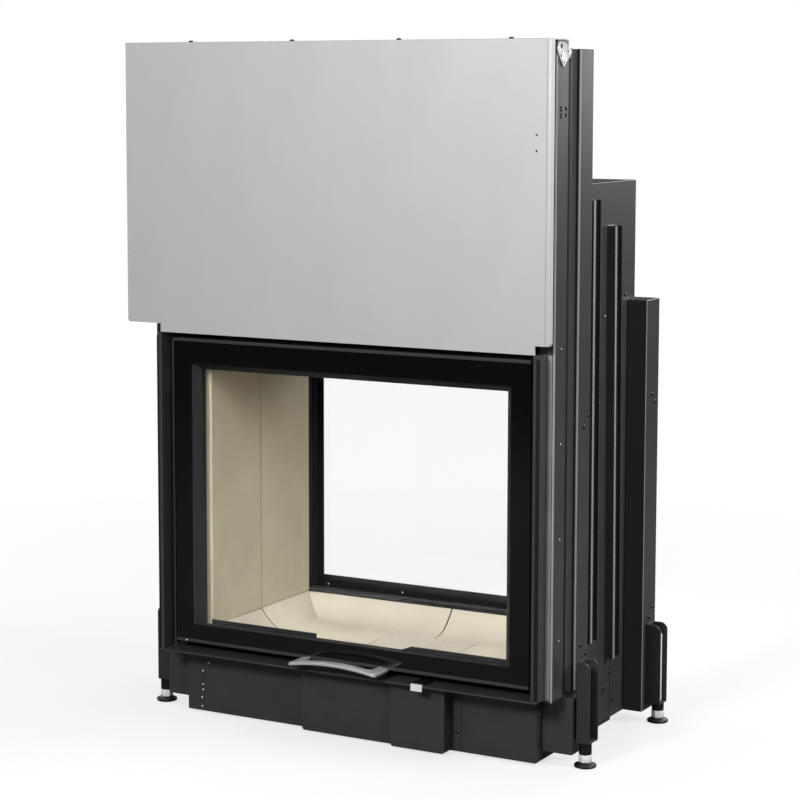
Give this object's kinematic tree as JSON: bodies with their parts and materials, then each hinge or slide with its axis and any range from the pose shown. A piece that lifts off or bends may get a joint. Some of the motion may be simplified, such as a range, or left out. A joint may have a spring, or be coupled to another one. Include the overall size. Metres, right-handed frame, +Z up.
{
  "type": "tunnel fireplace insert",
  "caption": "Tunnel fireplace insert: front glass door that lifts behind a tall sheet cover, hinged glass door at the rear, fireclay-lined firebox, steel base on adjustable feet.",
  "frame": {"origin": "middle of the bounding box at floor level, under the feet", "axes": "+X to the right seen from the front, +Y from the lifting door towards the rear door, +Z up"},
  "size_m": [0.818, 0.4862, 1.1171],
  "materials": {
    "galvanised_sheet": "matt zinc-coated sheet",
    "anthracite_paint": "matt heat-resistant paint",
    "black_paint": "matt black paint",
    "fireclay": "smooth cast fireclay",
    "vermiculite": "pressed vermiculite board",
    "ceramic_glass": "clear glass ceramic with a black printed border",
    "rope_seal": "braided glass fibre rope",
    "brushed_steel": "brushed stainless steel",
    "zinc_plate": "bright zinc plating",
    "bare_steel": "bare rolled steel"
  },
  "bodies": {
    "insert": {"plinth_box": "anthracite_paint", "air_box": "anthracite_paint", "air_box_cover": "anthracite_paint", "foot_post_left": "anthracite_paint", "foot_post_right": "anthracite_paint", "foot_bracket_front_left": "black_paint", "foot_bracket_front_right": "black_paint", "foot_bracket_rear_left": "black_paint", "foot_bracket_rear_right": "black_paint", "front_surround": "anthracite_paint", "cover_panel": "galvanised_sheet", "top_beam": "anthracite_paint", "guide_column_left": "anthracite_paint", "guide_column_right": "anthracite_paint", "weight_channel_left": "anthracite_paint", "weight_channel_right": "anthracite_paint", "pulley_axle_left": "zinc_plate", "pulley_axle_right": "zinc_plate", "cable_over_pulley_left": "bare_steel", "cable_over_pulley_right": "bare_steel", "cable_to_door_left": "bare_steel", "cable_to_door_right": "bare_steel", "cable_to_weight_left": "bare_steel", "cable_to_weight_right": "bare_steel", "firebox_shell": "anthracite_paint", "firebox_front_frame": "black_paint", "wall_tile_front_left": "fireclay", "wall_tile_front_right": "fireclay", "wall_tile_rear_left": "fireclay", "wall_tile_rear_right": "fireclay", "hearth_tile_front_left": "fireclay", "hearth_tile_front_right": "fireclay", "hearth_tile_rear_left": "fireclay", "hearth_tile_rear_right": "fireclay", "hearth_plate": "fireclay", "baffle_plate": "vermiculite", "log_guard_front": "black_paint", "rear_sill_plate": "black_paint", "flue_collar": "anthracite_paint", "rear_frame": "anthracite_paint", "rear_hinge_lower": "black_paint", "rear_hinge_upper": "black_paint"},
    "lift_door": {"lift_door_frame": "anthracite_paint", "lift_door_glass": "ceramic_glass", "lift_door_seal": "rope_seal", "lift_door_handle": "brushed_steel", "door_hanger_left": "bare_steel", "door_hanger_right": "bare_steel"},
    "weight_left": {"counterweight_left": "bare_steel"},
    "weight_right": {"counterweight_right": "bare_steel"},
    "wheel_left": {"pulley_left": "bare_steel"},
    "wheel_right": {"pulley_right": "bare_steel"},
    "rear_door": {"rear_door_frame": "anthracite_paint", "rear_door_glass": "ceramic_glass"},
    "rear_handle": {"rear_door_handle": "brushed_steel"},
    "air_control": {"air_lever": "zinc_plate"},
    "foot_fl": {"foot_front_left": "zinc_plate"},
    "foot_fr": {"foot_front_right": "zinc_plate"},
    "foot_rl": {"foot_rear_left": "zinc_plate"},
    "foot_rr": {"foot_rear_right": "zinc_plate"}
  },
  "joints": [
    {"name": "lift", "type": "slide", "parent": "insert", "child": "lift_door", "axis": [0, 0, 1], "range_m": [0, 0.45], "deforming": ["cable_to_door_left", "cable_to_door_right"]},
    {"name": "weight_left_drop", "type": "slide", "parent": "insert", "child": "weight_left", "axis": [0, 0, 1], "range_m": [-0.45, 0], "deforming": ["cable_to_weight_left"]},
    {"name": "weight_right_drop", "type": "slide", "parent": "insert", "child": "weight_right", "axis": [0, 0, 1], "range_m": [-0.45, 0], "deforming": ["cable_to_weight_right"]},
    {"name": "pulley_left_turn", "type": "hinge", "parent": "insert", "child": "wheel_left", "pos_m": [-0.3425, -0.11765, 1.06], "axis": [1, 0, 0], "range_deg": [-622, 0]},
    {"name": "pulley_right_turn", "type": "hinge", "parent": "insert", "child": "wheel_right", "pos_m": [0.3425, -0.11765, 1.06], "axis": [1, 0, 0], "range_deg": [-622, 0]},
    {"name": "rear_door_swing", "type": "hinge", "parent": "insert", "child": "rear_door", "pos_m": [-0.3295, 0.19485, 0.3695], "axis": [0, 0, 1], "range_deg": [0, 100]},
    {"name": "rear_handle_turn", "type": "hinge", "parent": "rear_door", "child": "rear_handle", "pos_m": [0.3025, 0.215, 0.3695], "axis": [0, 1, 0], "range_deg": [0, 45]},
    {"name": "air_lever_slide", "type": "slide", "parent": "insert", "child": "air_control", "axis": [1, 0, 0], "range_m": [-0.045, 0.008]},
    {"name": "foot_front_left_screw", "type": "slide", "parent": "insert", "child": "foot_fl", "axis": [0, 0, -1], "range_m": [0, 0.015]},
    {"name": "foot_front_right_screw", "type": "slide", "parent": "insert", "child": "foot_fr", "axis": [0, 0, -1], "range_m": [0, 0.015]},
    {"name": "foot_rear_left_screw", "type": "slide", "parent": "insert", "child": "foot_rl", "axis": [0, 0, -1], "range_m": [0, 0.015]},
    {"name": "foot_rear_right_screw", "type": "slide", "parent": "insert", "child": "foot_rr", "axis": [0, 0, -1], "range_m": [0, 0.015]}
  ],
  "couplings": [
    {"joint": "weight_left_drop", "follows": "lift", "ratio": -1},
    {"joint": "weight_right_drop", "follows": "lift", "ratio": -1},
    {"joint": "pulley_left_turn", "follows": "lift", "rad_per_m": -24.096},
    {"joint": "pulley_right_turn", "follows": "lift", "rad_per_m": -24.096}
  ]
}
